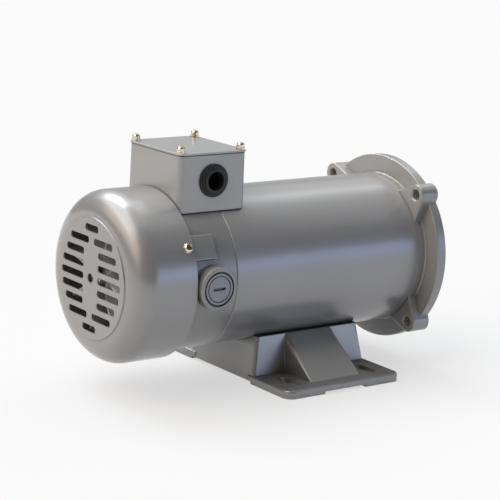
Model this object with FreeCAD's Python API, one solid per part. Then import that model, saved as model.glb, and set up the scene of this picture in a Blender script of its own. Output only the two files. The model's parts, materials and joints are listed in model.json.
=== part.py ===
import FreeCAD, Part
import math
import os

# A foot and flange mounted direct current motor, in millimetres, resting on z = 0.
# The shaft runs along x, the driven end is at high x, and the cable entry is at low y.
os.makedirs("parts", exist_ok=True)
vec = FreeCAD.Vector
x_axis = vec(1, 0, 0)
y_axis = vec(0, 1, 0)
z_axis = vec(0, 0, 1)

# Standard mounting sizes
shaft_height = 88.9
slot_half_x = 38.1
face_x = 107.95
register_radius = 57.15
register_height = 4.0
bolt_circle_radius = 74.6125
ear_hole_radius = 3.97
shaft_end_x = 160.35
shaft_chamfer = 1.2
centre_hole_radius = 2.6
centre_hole_depth = 4.5
output_radius = 7.9375
output_start_x = 112.7
keyway_width = 4.76
keyway_length = 35.8
keyway_floor = 5.19

# Steel tube of the frame
tube_rear_x = -90.4
tube_front_x = 91.3
tube_radius = 61.5
tube_wall = 5.0
tube_bore = tube_radius - tube_wall
seam_bevel = 0.6

# Fits between pieces, each as a gap on the radius
seat_gap = 0.03
cover_gap = 0.05
screw_gap = 0.3
crown_of_height = 0.6
crown_of_radius = 0.8

# Both end bells
spigot_length = 8.0
spigot_radius = tube_bore - 0.1
spigot_bore = 45.5
bolt_radius = 3.0
bolt_offset = 50.0
bolt_clearance = 0.2
bolt_head_across = 10.0
bolt_head_height = 4.0

# Front bell with its flange disc and ears
neck_radius = 61.4
neck_fillet = 1.2
neck_seam = 0.2
disc_radius = 76.6
disc_back_x = 99.25
disc_edge = 1.0
ear_radius = 8.7
ear_foot_half = 16.3
ear_foot_radius = 58.1
ear_edge = 1.2
ear_mouth = 4.9
ear_mouth_depth = 1.0
ear_angles = (45, 135, 225, 315)
web_back_x = 96.0
web_front_x = 104.0
recess_radius = 50.0
hub_radius = 26.0
seal_radius = 14.0
seal_back_x = 104.5
seal_front_x = 111.4

# Rear bell with its brush bosses and cover pads
bell_step_x = -127.0
bell_back_x = -144.0
bell_wall = 6.0
bell_bore = 54.5
pad_angles = (32, 152, 272)
pad_width = 19.4
pad_front_x = -110.0
pad_back_x = -141.0
lead_hole_x = -103.0
lead_hole_y = 13.0
lead_hole_radius = 7.0

# Bearings at both ends
bearing_width = 12.0
bearing_outer = 20.0
bearing_bore = 8.5
bearing_pitch = 14.5
ball_radius = 3.35
ball_count = 8
race_gap = 0.05
inner_ring_radius = 12.1
outer_ring_bore = 16.9
front_bearing_x = 86.2
rear_bearing_x = -140.6
washer_thickness = 1.0

# Magnets and turning armature
magnet_inner = 43.5
magnet_half_length = 65.0
magnet_sweep = 124.0
core_radius = 42.5
core_half_length = 62.0
core_slots = 16
slot_floor = 25.0
slot_roof = 39.5
slot_half_width = 3.4
slot_mouth_half = 1.2
core_seat = 10.0
commutator_seat = 9.0
commutator_radius = 20.0
commutator_bars = 24
commutator_back_x = -125.5
commutator_front_x = -101.0
riser_radius = 24.0
riser_length = 3.5
bar_root = 13.2
bar_slit_angle = 2.4

# Brushes, holders and caps, on the line through the commutator
brush_x = -112.7
brush_half_x = 7.0
brush_half_z = 4.0
brush_length = 24.0
brush_gap = 0.05
guide_gap = 0.08
holder_radius = 11.6
holder_inner_end = 25.5
holder_rim = 13.3
holder_recess = 1.4
boss_radius = 16.3
boss_face = 69.7
boss_edge = 1.2
boss_seat = 66.7
cap_radius = 12.0
cap_seat = 67.2
cap_stem = 9.2
cap_stem_end = 59.0
cap_slot_half = 5.5
cap_slot_half_width = 1.05
cap_slot_depth = 2.2
cap_ring_radius = 10.3
cap_ring_width = 0.8
cap_ring_depth = 1.1
spring_radius = 3.0
spring_wire = 0.5
spring_turns = 5
spring_sides = 8

# Fan and fan cover
cover_radius = 66.3
cover_wall = 1.5
cover_rim_x = -129.9
cover_face_x = -181.3
cover_corner = 19.0
vent_step = 1.0
vent_edge = 0.7
vent_radius = 46.8
vent_pitch = 9.6
vent_height = 5.3
vent_rows = ((0, 10.2, 41.0), (1, 10.0, 39.5), (2, 10.0, 34.4), (3, 3.6, 29.0))
vent_end_half = 9.0
vent_corner = 2.0
vent_centre_radius = 3.75
cover_screw_x = -135.4
cover_screw_head = 3.9
cover_screw_rise = 2.8
cover_screw_length = 9.0
fan_radius = 54.0
fan_front_x = -151.0
fan_back_x = -174.0
fan_blades = 8
fan_blade_wall = 2.2
fan_hub = 12.0
fan_turn = 15.0
fan_seat = 7.0
ring_x = -175.2
ring_thickness = 1.0
ring_height = 2.6
ring_gap_half = 2.2
groove_depth = 0.6

# Terminal box over the seam between rear bell and tube
box_x = -98.3
box_half_x = 31.0
box_half_y = 35.6
box_corner = 4.8
box_draft = 0.4
box_wall = 3.0
box_top = 183.6
box_low = 130.0
saddle_radius = 62.6
gasket_thickness = 0.5
lid_thickness = 1.5
lid_overhang = 0.2
lid_edge = 0.6
lid_rim_width = 10.0
gasket_inset = 0.3
lid_screw_x = 27.5
lid_screw_y = 30.4
post_radius = 4.8
screw_radius = 2.0
lid_screw_head = 3.1
lid_screw_rise = 5.2
lid_screw_skirt = 3.5
lid_screw_skirt_rise = 1.5
lid_screw_length = 14.0
box_screw_head = 4.0
box_screw_rise = 2.8
box_screw_length = 9.0
entry_z = 164.0
entry_radius = 11.0
grommet_rings = ((12.7, 1.5), (11.2, 2.5), (9.6, 3.5))
grommet_edge = 0.5
grommet_flange = 12.6
grommet_bore = 7.25
box_screw_xs = (-78.0, -118.0)

# Cast base
foot_half_x = 57.0
foot_outer_y = 88.4
foot_inner_y = 36.0
foot_top = 6.5
foot_corner = 8.0
foot_edge = 1.5
relief = 2.0
relief_half_x = 20.5
relief_inner_y = 40.0
body_low_x = 56.8
body_low_y = 43.3
body_top_x = 50.7
body_top_y = 37.6
body_top = 36.5
body_corner = 3.0
base_wall = 6.0
wedge_half_x = 24.6
wedge_foot_y = 75.5
wedge_edges = (0.6, 4.0)
slot_y = 65.0
slot_length = 24.0
slot_radius = 4.35
base_bolt_x = 30.0
base_bolt_angles = (256, 284)
base_bolt_radius = 3.35
base_bolt_gap = 0.6
base_bolt_floor = 1.5
base_bolt_head_across = 13.0
base_bolt_head_height = 5.0


def on_shaft(shape):
    # Lifts a shape made about the x axis to the shaft line.
    shape.translate(vec(0, 0, shaft_height))
    return shape


def turned(profile, sweep=360.0):
    # Turns (x, radius) points about the shaft line.
    points = [vec(x, 0, r) for x, r in profile]
    wire = Part.makePolygon(points + points[:1])
    return on_shaft(Part.Face(wire).revolve(vec(0, 0, 0), x_axis, sweep))


def disc(x_from, x_to, radius, y=0.0, z=0.0):
    # A round bar along x, placed by its offset from the shaft line.
    start = vec(x_from, y, shaft_height + z)
    return Part.makeCylinder(radius, x_to - x_from, start, x_axis)


def pipe(x_from, x_to, radius, bore):
    return disc(x_from, x_to, radius).cut(disc(x_from - 1, x_to + 1, bore))


def cross_bar(y_from, y_to, radius, x=brush_x, z=shaft_height):
    # A round bar along y.
    return Part.makeCylinder(radius, y_to - y_from, vec(x, y_from, z), y_axis)


def upright(z_from, z_to, radius, x, y):
    return Part.makeCylinder(radius, z_to - z_from, vec(x, y, z_from), z_axis)


def block(x_from, x_to, y_from, y_to, z_from, z_to):
    size = (x_to - x_from, y_to - y_from, z_to - z_from)
    return Part.makeBox(*size, vec(x_from, y_from, z_from))


def radial_bar(x, r_from, r_to, radius):
    # A round bar that stands on the shaft line, pointing along y before it is spun.
    return cross_bar(r_from, r_to, radius, x)


def spun(shape, angle):
    # A copy turned about the shaft line, from y towards z.
    copy = shape.copy()
    copy.rotate(vec(0, 0, shaft_height), x_axis, angle)
    return copy


def mirrored(shape):
    # The same piece on the other side of the shaft.
    return shape.mirror(vec(0, 0, 0), y_axis)


def joined(shapes):
    whole = shapes[0]
    for shape in shapes[1:]:
        whole = whole.fuse(shape)
    return whole.removeSplitter()


def without(shape, tools):
    for tool in tools:
        shape = shape.cut(tool)
    return shape


def rounded_edges(shape, radius, chosen):
    edges = [edge for edge in shape.Edges if chosen(edge)]
    return shape.makeFillet(radius, edges)


def is_ring(edge, x, radius):
    # True for a full circle of this radius about the shaft, at this x.
    curve = edge.Curve
    if not isinstance(curve, Part.Circle):
        return False
    return abs(curve.Radius - radius) < 0.01 and abs(curve.Center.x - x) < 0.01


def rounded_outline(x, half_x, half_y, corner, z):
    # A rectangle with round corners, lying at height z and centred on y = 0.
    plate = block(x - half_x, x + half_x, -half_y, half_y, z, z + 1)
    plate = rounded_edges(plate, corner, is_upright)
    bottom = min(plate.Faces, key=lambda face: face.CenterOfMass.z)
    return bottom.OuterWire


def is_upright(edge):
    first, last = edge.Vertexes[0].Point, edge.Vertexes[-1].Point
    return abs(first.z - last.z) > 0.5 and abs(first.x - last.x) < 0.01


def tapered_block(low, high):
    return Part.makeLoft([low, high], True, True)


def save(node, shape):
    shape.exportStep("parts/" + node + ".step")


# The frame

def make_tube():
    bevelled = [
        (tube_rear_x, tube_bore),
        (tube_rear_x, tube_radius - seam_bevel),
        (tube_rear_x + seam_bevel, tube_radius),
        (tube_front_x - neck_seam, tube_radius),
        (tube_front_x, tube_radius - neck_seam),
        (tube_front_x, tube_bore),
    ]
    tube = turned(bevelled)
    holes = []
    for angle in base_bolt_angles:
        for x in (-base_bolt_x, base_bolt_x):
            hole = radial_bar(x, tube_bore + base_bolt_floor, tube_radius + 3, base_bolt_radius + race_gap)
            holes.append(spun(hole, angle))
    top = shaft_height + tube_radius
    holes.append(upright(top - tube_wall - 3, top + 3, screw_radius + race_gap, box_screw_xs[0], 0))
    return without(tube, holes)


def make_ear():
    # A lobe along y whose straight sides run from the neck to the round boss.
    back, depth = tube_front_x, face_x - tube_front_x
    run = bolt_circle_radius - ear_foot_radius
    reach = math.hypot(run, ear_foot_half)
    lean = math.atan2(ear_foot_half, run) + math.acos(ear_radius / reach)
    side_y = bolt_circle_radius - ear_radius * math.cos(lean)
    side_z = ear_radius * math.sin(lean)
    outline = [
        (neck_radius - 12, -ear_foot_half), (ear_foot_radius, -ear_foot_half), (side_y, -side_z),
        (side_y, side_z), (ear_foot_radius, ear_foot_half), (neck_radius - 12, ear_foot_half),
    ]
    points = [vec(back, y, shaft_height + z) for y, z in outline]
    wedge = Part.Face(Part.makePolygon(points + points[:1])).extrude(vec(depth, 0, 0))
    lobe = joined([wedge, disc(back, face_x, ear_radius, bolt_circle_radius, 0)])
    rim = [edge for edge in lobe.Edges if edge.BoundBox.XMax < back + 0.01]
    return lobe.makeFillet(ear_edge, [edge for edge in rim if edge.BoundBox.YMax > ear_foot_radius + 1])


def make_front_bell():
    spigot_back = tube_front_x - spigot_length
    register_x = face_x + register_height
    outside = turned([
        (spigot_back, 0), (spigot_back, spigot_radius), (tube_front_x, spigot_radius),
        (tube_front_x, neck_radius), (disc_back_x, neck_radius), (disc_back_x, disc_radius),
        (face_x, disc_radius), (face_x, register_radius), (register_x, register_radius), (register_x, 0),
    ])
    outside = rounded_edges(outside, neck_fillet, lambda edge: is_ring(edge, disc_back_x, neck_radius))
    for x in (disc_back_x, face_x):
        outside = rounded_edges(outside, disc_edge, lambda edge: is_ring(edge, x, disc_radius))
    ears = [spun(make_ear(), angle) for angle in ear_angles]
    solid = joined([outside] + ears)
    hub_back = front_bearing_x - 0.2
    pocket_end = front_bearing_x + bearing_width
    recess = turned([
        (web_front_x, seal_radius + 8), (web_front_x, recess_radius - 4),
        (register_x + 1, recess_radius), (register_x + 1, seal_radius + 8),
    ])
    cavity = turned([
        (spigot_back - 1, hub_radius), (spigot_back - 1, spigot_bore), (web_back_x - 4, spigot_bore),
        (web_back_x, spigot_bore - 4), (web_back_x, hub_radius + 2), (hub_back, hub_radius),
    ])
    tools = [recess, cavity, disc(spigot_back - 1, hub_back, hub_radius)]
    tools.append(disc(spigot_back - 1, pocket_end, bearing_outer + seat_gap))
    tools.append(disc(pocket_end - 1, register_x + 1, bearing_bore + 1))
    tools.append(disc(seal_back_x, register_x + 1, seal_radius + seat_gap))
    for side in (-1, 1):
        thread = disc(spigot_back - 1, web_front_x - 4, bolt_radius + race_gap, 0, side * bolt_offset)
        tools.append(thread)
    for angle in ear_angles:
        hole = disc(tube_front_x - 1, face_x + 1, ear_hole_radius, bolt_circle_radius, 0)
        mouth = vec(tube_front_x, bolt_circle_radius, shaft_height)
        cone = Part.makeCone(ear_mouth, ear_hole_radius, ear_mouth_depth, mouth, x_axis)
        tools += [spun(hole, angle), spun(cone, angle)]
    return without(solid, tools)


def make_pad():
    # A raised land along y that carries one cover screw.
    land = block(pad_back_x, pad_front_x, bell_bore - 1, cover_radius + 3, -pad_width / 2, pad_width / 2)
    land.translate(vec(0, 0, shaft_height))
    return land.common(disc(pad_back_x, pad_front_x, cover_radius - cover_wall - cover_gap))


def make_boss():
    boss = cross_bar(bell_bore - 4, boss_face, boss_radius)
    tip = [edge for edge in boss.Edges if abs(edge.BoundBox.YMin - boss_face) < 0.01]
    return boss.makeFillet(boss_edge, tip)


def make_rear_bell():
    spigot_front = tube_rear_x + spigot_length
    outside = turned([
        (spigot_front, 0), (spigot_front, spigot_radius), (tube_rear_x, spigot_radius),
        (tube_rear_x, tube_radius - seam_bevel), (tube_rear_x - seam_bevel, tube_radius),
        (bell_step_x, tube_radius), (bell_step_x - 4, tube_radius - 4), (bell_back_x + 2, bell_bore - 1),
        (bell_back_x, bell_bore - 3), (bell_back_x, 0),
    ])
    pads = [spun(make_pad(), angle) for angle in pad_angles]
    boss = make_boss()
    solid = joined([outside, boss, mirrored(boss)] + pads)
    hub_front = rear_bearing_x + bearing_width + 0.4
    wall_x = bell_back_x + bell_wall
    cavity = turned([
        (spigot_front + 1, 0), (spigot_front + 1, spigot_bore), (tube_rear_x - 2, spigot_bore),
        (tube_rear_x - 9, bell_bore), (wall_x + 10, bell_bore), (wall_x + 4, bell_bore - 4),
        (wall_x, bell_bore - 8), (wall_x, hub_radius + 2), (hub_front, hub_radius), (hub_front, 0),
    ])
    tools = [cavity, disc(rear_bearing_x - washer_thickness, hub_front + 1, bearing_outer + seat_gap)]
    tools.append(disc(bell_back_x - 1, hub_front, bearing_bore + 2))
    for side in (-1, 1):
        hole_radius = bolt_radius + bolt_clearance
        tools.append(disc(bell_back_x - 1, spigot_front + 1, hole_radius, 0, side * bolt_offset))
    bore = cross_bar(30, boss_face + 1, holder_radius + race_gap)
    seat = cross_bar(boss_seat, boss_face + 1, holder_rim + race_gap)
    tools += [bore, seat, mirrored(bore), mirrored(seat)]
    for angle in pad_angles:
        hole = radial_bar(cover_screw_x, bell_bore - 1, cover_radius, screw_radius + race_gap)
        tools.append(spun(hole, angle))
    top = shaft_height + tube_radius
    tools.append(upright(top - 18, top + 4, lead_hole_radius, lead_hole_x, lead_hole_y))
    tools.append(upright(top - 12, top + 4, screw_radius + race_gap, box_screw_xs[1], 0))
    return without(solid, tools)


def hexagon(start, along, across, length):
    # A hexagonal prism that starts at a point and runs along x or y.
    corner = across / math.sqrt(3)
    sideways = y_axis if along == x_axis else x_axis
    ring = []
    for k in range(7):
        turn = math.radians(60 * k)
        ring.append(start + sideways * (corner * math.cos(turn)) + z_axis * (corner * math.sin(turn)))
    return Part.Face(Part.makePolygon(ring)).extrude(along * length)


def make_through_bolts():
    head, end = bolt_head_height, web_front_x - 5
    bolts = []
    for side in (-1, 1):
        shank = disc(bell_back_x - 1, end, bolt_radius, 0, side * bolt_offset)
        start = vec(bell_back_x - head, 0, shaft_height + side * bolt_offset)
        bolts.append(shank.fuse(hexagon(start, x_axis, bolt_head_across, head)))
    return Part.makeCompound(bolts)


def make_magnet():
    # One arc of magnet, centred on the y axis.
    arc = turned([
        (-magnet_half_length, magnet_inner), (-magnet_half_length, tube_bore - 0.1),
        (magnet_half_length, tube_bore - 0.1), (magnet_half_length, magnet_inner),
    ], magnet_sweep)
    return spun(arc, -90 - magnet_sweep / 2)


# Bearings

def race_groove(x):
    centre = vec(x + bearing_width / 2, 0, shaft_height)
    return Part.makeTorus(bearing_pitch, ball_radius + race_gap, centre, x_axis)


def bearing_ring(x, radius, bore):
    return pipe(x, x + bearing_width, radius, bore).cut(race_groove(x))


def ball_centres(x):
    first = vec(x + bearing_width / 2, bearing_pitch, shaft_height)
    point = Part.Vertex(first)
    return [spun(point, 360.0 / ball_count * k).Point for k in range(ball_count)]


def make_balls(x):
    return Part.makeCompound([Part.makeSphere(ball_radius, centre) for centre in ball_centres(x)])


def make_cage(x):
    ring = pipe(x + 2, x + bearing_width - 2, bearing_pitch + 0.8, bearing_pitch - 0.8)
    pockets = [Part.makeSphere(ball_radius + race_gap, centre) for centre in ball_centres(x)]
    return without(ring, pockets)


def make_washer():
    start = rear_bearing_x - washer_thickness
    return pipe(start + 0.05, rear_bearing_x - 0.05, bearing_outer - 0.3, outer_ring_bore)


def make_seal():
    return turned([
        (seal_back_x + 0.1, bearing_bore + 0.06), (seal_back_x + 0.1, seal_radius),
        (seal_front_x, seal_radius), (seal_front_x, bearing_bore + 2.5),
        (seal_front_x - 2, bearing_bore + 0.06),
    ])


# The turning rotor

def make_shaft():
    groove_back, groove_front = ring_x - cover_gap, ring_x + ring_thickness + 0.15
    groove = fan_seat - groove_depth
    front_bearing_end = front_bearing_x + bearing_width
    blank = turned([
        (fan_back_x - 3.2, 0), (fan_back_x - 3.2, fan_seat - 0.8), (fan_back_x - 2.4, fan_seat),
        (groove_back, fan_seat), (groove_back, groove), (groove_front, groove), (groove_front, fan_seat),
        (rear_bearing_x - 3, fan_seat), (rear_bearing_x - 3, bearing_bore),
        (rear_bearing_x + bearing_width, bearing_bore), (rear_bearing_x + bearing_width, commutator_seat),
        (commutator_front_x + 3, commutator_seat), (commutator_front_x + 3, core_seat),
        (front_bearing_x - 3, core_seat), (front_bearing_x, bearing_bore + 1),
        (front_bearing_x, bearing_bore),
        (front_bearing_end + 1, bearing_bore), (output_start_x, bearing_bore),
        (output_start_x, output_radius), (shaft_end_x - shaft_chamfer, output_radius),
        (shaft_end_x, output_radius - shaft_chamfer), (shaft_end_x, 0),
    ])
    span = (shaft_end_x - keyway_length, shaft_end_x + 1)
    keyway = block(*span, -keyway_width / 2, keyway_width / 2, keyway_floor, output_radius + 1)
    centre = Part.makeCone(centre_hole_radius, 0, centre_hole_depth, vec(shaft_end_x, 0, 0), -x_axis)
    return without(blank, [on_shaft(keyway), on_shaft(centre)])


def make_core():
    # A slotted stack of laminations on the shaft.
    stack = pipe(-core_half_length, core_half_length, core_radius, core_seat + seat_gap)
    length = core_half_length + 1
    wide = block(-length, length, slot_floor, slot_roof, -slot_half_width, slot_half_width)
    mouth = block(-length, length, slot_roof - 0.5, core_radius + 1, -slot_mouth_half, slot_mouth_half)
    slot = on_shaft(wide.fuse(mouth))
    return without(stack, [spun(slot, 360.0 / core_slots * k) for k in range(core_slots)])


def make_winding():
    # Slot bars and both end turns as one wound body.
    gap = 0.3
    end = core_half_length + gap
    front = turned([
        (end, core_seat + 6), (end, slot_roof - gap), (end + 8, slot_roof - 1), (end + 14, slot_roof - 5),
        (end + 17, slot_floor + 4), (end + 17, core_seat + 9), (end + 12, core_seat + 6),
    ])
    rear = turned([
        (-end, core_seat + 6), (-end, slot_roof - gap), (-end - 9, slot_roof - 1),
        (-end - 20, slot_floor + 6),
        (commutator_front_x + gap, riser_radius), (commutator_front_x + gap, riser_radius - 5),
        (-end - 22, core_seat + 6),
    ])
    half = slot_half_width - gap
    bar = on_shaft(block(-end - 1, end + 1, slot_floor + gap, slot_roof - gap, -half, half))
    bars = [spun(bar, 360.0 / core_slots * k) for k in range(core_slots)]
    return joined([front, rear] + bars)


def make_commutator_bars():
    riser_x = commutator_front_x - riser_length
    pitch = 360.0 / commutator_bars
    bar = turned([
        (commutator_back_x, bar_root), (commutator_back_x, commutator_radius),
        (riser_x, commutator_radius),
        (riser_x, riser_radius), (commutator_front_x, riser_radius), (commutator_front_x, bar_root),
    ], pitch - bar_slit_angle)
    return Part.makeCompound([spun(bar, pitch * k) for k in range(commutator_bars)])


def make_commutator_hub():
    bore = commutator_seat + seat_gap
    return pipe(commutator_back_x - 0.5, commutator_front_x + 0.2, bar_root - cover_gap, bore)


def make_blade():
    # One straight radial paddle along y, cut back at its outer rear corner.
    outline = [
        (fan_front_x, fan_hub - 1), (fan_front_x, fan_radius - 5), (fan_front_x - 3, fan_radius),
        (fan_back_x + 9, fan_radius), (fan_back_x, fan_radius - 10), (fan_back_x, fan_hub + 8),
        (fan_back_x + 2, fan_hub - 1),
    ]
    points = [vec(x, y, shaft_height - fan_blade_wall / 2) for x, y in outline]
    return Part.Face(Part.makePolygon(points + points[:1])).extrude(vec(0, 0, fan_blade_wall))


def make_fan():
    hub = disc(fan_back_x, fan_front_x + 1, fan_hub)
    blades = [spun(make_blade(), fan_turn + 360.0 / fan_blades * k) for k in range(fan_blades)]
    fan = joined([hub] + blades)
    return fan.cut(disc(fan_back_x - 1, fan_front_x + 2, fan_seat + seat_gap))


def make_retaining_ring():
    bore = fan_seat - groove_depth + race_gap
    ring = pipe(ring_x, ring_x + ring_thickness, fan_seat + ring_height, bore)
    gap = block(ring_x - 1, ring_x + 2, 0, fan_seat + ring_height + 1, -ring_gap_half, ring_gap_half)
    return ring.cut(on_shaft(gap))


# Brush gear, made on the high y side

def make_holder():
    body = cross_bar(holder_inner_end, boss_seat + 0.5, holder_radius)
    rim = cross_bar(boss_seat + 0.05, boss_face - holder_recess, holder_rim)
    guide_x, guide_z = brush_half_x + guide_gap, brush_half_z + guide_gap
    passage = block(brush_x - guide_x, brush_x + guide_x, 20, boss_face, -guide_z, guide_z)
    stem = cross_bar(cap_stem_end - 0.5, boss_face, cap_stem + race_gap)
    recess = cross_bar(cap_seat, boss_face + 1, cap_radius + race_gap)
    return without(body.fuse(rim), [on_shaft(passage), stem, recess])


def make_cap():
    head = cross_bar(cap_seat + 0.05, boss_face, cap_radius)
    stem = cross_bar(cap_stem_end, boss_face - 1, cap_stem)
    ends = (brush_x - cap_slot_half, brush_x + cap_slot_half)
    depths = (boss_face - cap_slot_depth, boss_face + 1)
    slot = block(*ends, *depths, -cap_slot_half_width, cap_slot_half_width)
    ring = cross_bar(boss_face - cap_ring_depth, boss_face + 1, cap_ring_radius)
    ring = ring.cut(cross_bar(boss_face - 2, boss_face + 2, cap_ring_radius - cap_ring_width))
    return without(head.fuse(stem), [on_shaft(slot), ring])


def make_brush():
    outer = commutator_radius + brush_length
    carbon = block(brush_x - brush_half_x, brush_x + brush_half_x, 15, outer, -brush_half_z, brush_half_z)
    return on_shaft(carbon).cut(disc(brush_x - 20, brush_x + 20, commutator_radius + brush_gap))


def make_spring():
    # A coil between the brush tail and the cap stem.
    start = commutator_radius + brush_length + spring_wire + 0.1
    span = cap_stem_end - spring_wire - 0.1 - start
    helix = Part.makeHelix(span / spring_turns, span, spring_radius)
    corners = []
    for k in range(spring_sides + 1):
        turn = 2 * math.pi * k / spring_sides
        corners.append(vec(spring_radius + spring_wire * math.cos(turn), 0, spring_wire * math.sin(turn)))
    coil = Part.Wire(helix.Edges).makePipeShell([Part.makePolygon(corners)], True, True)
    coil.rotate(vec(0, 0, 0), x_axis, -90)
    coil.translate(vec(brush_x, start, shaft_height))
    return coil


# Fan cover

def cover_shell(inset):
    # The solid inside the cover's skin, drawn in by the inset.
    radius = cover_radius - inset
    face = cover_face_x + inset
    corner = cover_corner - inset
    solid = disc(face, cover_rim_x + inset, radius)
    solid = rounded_edges(solid, corner, lambda edge: is_ring(edge, face, radius))
    return solid.fuse(disc(face - vent_step, face + 1, vent_radius - inset))


def vent_slot(y_from, y_to, z):
    depth = 12.0
    low = cover_face_x - depth / 2
    slot = block(low, low + depth, y_from, y_to, z - vent_height / 2, z + vent_height / 2)
    along_x = [edge for edge in slot.Edges if abs(edge.Length - depth) < 0.01]
    return on_shaft(slot.makeFillet(vent_corner, along_x))


def make_cover():
    front = cover_face_x - vent_step
    skin = rounded_edges(cover_shell(0), vent_edge, lambda edge: is_ring(edge, front, vent_radius))
    skin = skin.cut(cover_shell(cover_wall))
    skin = skin.cut(disc(cover_rim_x - cover_wall - 1, cover_rim_x + 1, cover_radius - cover_wall))
    tools = [disc(cover_face_x - 5, cover_face_x + 6, vent_centre_radius)]
    for row, inner, outer in vent_rows:
        for level in {row, -row}:
            tools.append(vent_slot(inner, outer, level * vent_pitch))
            tools.append(vent_slot(-outer, -inner, level * vent_pitch))
    for level in (-4, 4):
        tools.append(vent_slot(-vent_end_half, vent_end_half, level * vent_pitch))
    for angle in pad_angles:
        tools.append(spun(radial_bar(cover_screw_x, 50, 80, screw_radius + screw_gap), angle))
    return without(skin, tools)


def pan_screw(length, head_radius, head_height):
    # A round headed screw whose head stands up from z = 0 about the z axis.
    head = Part.makeCylinder(head_radius, head_height)
    crown = [edge for edge in head.Edges if edge.BoundBox.ZMin > head_height / 2]
    crown_radius = min(head_height * crown_of_height, head_radius * crown_of_radius)
    head = head.makeFillet(crown_radius, crown)
    return head.fuse(Part.makeCylinder(screw_radius, length, vec(0, 0, -length)))


def make_cover_screws():
    screws = []
    for angle in pad_angles:
        screw = pan_screw(cover_screw_length, cover_screw_head, cover_screw_rise)
        screw.rotate(vec(0, 0, 0), x_axis, -90)
        screw.translate(vec(cover_screw_x, cover_radius + seat_gap, shaft_height))
        screws.append(spun(screw, angle))
    return Part.makeCompound(screws)


# Terminal box

def box_form(inset, low, high):
    low_half = box_half_x - inset
    outline_low = rounded_outline(box_x, low_half, box_half_y - inset, box_corner - inset, low)
    high_x, high_y = low_half - box_draft, box_half_y - inset - box_draft
    outline_high = rounded_outline(box_x, high_x, high_y, box_corner - inset, high)
    return tapered_block(outline_low, outline_high)


def box_posts():
    return [(box_x + sx * lid_screw_x, sy * lid_screw_y) for sx in (-1, 1) for sy in (-1, 1)]


def make_box():
    span = (box_x - 50, box_x + 50)
    shell = box_form(0, box_low, box_top)
    hollow = box_form(box_wall, box_low - 1, box_top + 1)
    shell = shell.cut(hollow.cut(disc(*span, saddle_radius + box_wall)))
    posts = [upright(box_low, box_top, post_radius, x, y) for x, y in box_posts()]
    posts = [post.common(box_form(0.2, box_low, box_top)) for post in posts]
    shell = joined([shell] + posts)
    tools = [disc(*span, saddle_radius)]
    tools.append(cross_bar(-box_half_y - 2, -box_half_y + box_wall + 2, entry_radius, box_x, entry_z))
    floor = shaft_height + saddle_radius
    lead_room = lead_hole_radius + 2
    tools.append(upright(floor - 8, floor + box_wall + 1, lead_room, lead_hole_x, lead_hole_y))
    for x in box_screw_xs:
        tools.append(upright(floor - 5, floor + box_wall + 1, screw_radius + screw_gap, x, 0))
    for x, y in box_posts():
        tools.append(upright(box_top - 20, box_top + 1, screw_radius + race_gap, x, y))
    return without(shell, tools)


def make_box_gasket():
    span = (box_x - 50, box_x + 50)
    sheet = box_form(0.8, box_low, box_top).common(disc(*span, saddle_radius - cover_gap))
    sheet = sheet.cut(disc(*span, tube_radius + cover_gap))
    holes = [upright(box_low, box_top, screw_radius + screw_gap, x, 0) for x in box_screw_xs]
    holes.append(upright(box_low, box_top, lead_hole_radius + 2, lead_hole_x, lead_hole_y))
    return without(sheet, holes)


def make_box_screws():
    screws = []
    for x in box_screw_xs:
        screw = pan_screw(box_screw_length, box_screw_head, box_screw_rise)
        screw.translate(vec(x, 0, shaft_height + saddle_radius + box_wall + seat_gap))
        screws.append(screw)
    return Part.makeCompound(screws)


def flat_plate(half_x, half_y, corner, z_from, z_to):
    outline = rounded_outline(box_x, half_x, half_y, corner, z_from)
    return Part.Face(outline).extrude(vec(0, 0, z_to - z_from))


def make_lid_gasket():
    half_x, half_y = box_half_x - box_draft, box_half_y - box_draft
    outer = (half_x - gasket_inset, half_y - gasket_inset, box_corner)
    sheet = flat_plate(*outer, box_top, box_top + gasket_thickness)
    inner = (half_x - lid_rim_width, half_y - lid_rim_width, box_corner / 2)
    window = flat_plate(*inner, box_top - 1, box_top + 3)
    holes = [upright(box_top - 1, box_top + 3, screw_radius + screw_gap, x, y) for x, y in box_posts()]
    return without(sheet, [window] + holes)


def make_lid():
    low = box_top + gasket_thickness
    half_x, half_y = box_half_x + lid_overhang, box_half_y + lid_overhang
    plate = flat_plate(half_x, half_y, box_corner + lid_overhang, low, low + lid_thickness)
    top = [edge for edge in plate.Edges if edge.BoundBox.ZMin > low + lid_thickness - 0.01]
    plate = plate.makeFillet(lid_edge, top)
    holes = [upright(low - 1, low + 3, screw_radius + screw_gap, x, y) for x, y in box_posts()]
    return without(plate, holes)


def make_lid_screws():
    screws = []
    for x, y in box_posts():
        screw = pan_screw(lid_screw_length, lid_screw_head, lid_screw_rise)
        screw = screw.fuse(Part.makeCylinder(lid_screw_skirt, lid_screw_skirt_rise))
        screw.translate(vec(x, y, box_top + gasket_thickness + lid_thickness + seat_gap))
        screws.append(screw)
    return Part.makeCompound(screws)


def make_grommet():
    # A rubber bush in the wall on the low y side, stepping up in rings to its mouth.
    wall_out = -box_half_y
    wall_in = wall_out + box_wall
    body = [cross_bar(wall_out - 1, wall_in + 1.5, entry_radius - 0.1, box_x, entry_z)]
    body.append(cross_bar(wall_in + 0.4, wall_in + 3.0, grommet_flange, box_x, entry_z))
    for radius, rise in grommet_rings:
        ring = cross_bar(wall_out - rise, wall_out - cover_gap, radius, box_x, entry_z)
        mouth = [edge for edge in ring.Edges if edge.BoundBox.YMax < wall_out - rise + 0.01]
        body.append(ring.makeFillet(grommet_edge, mouth))
    bore = cross_bar(wall_out - 10, wall_in + 4, grommet_bore, box_x, entry_z)
    return joined(body).cut(bore)


# Cast base

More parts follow.
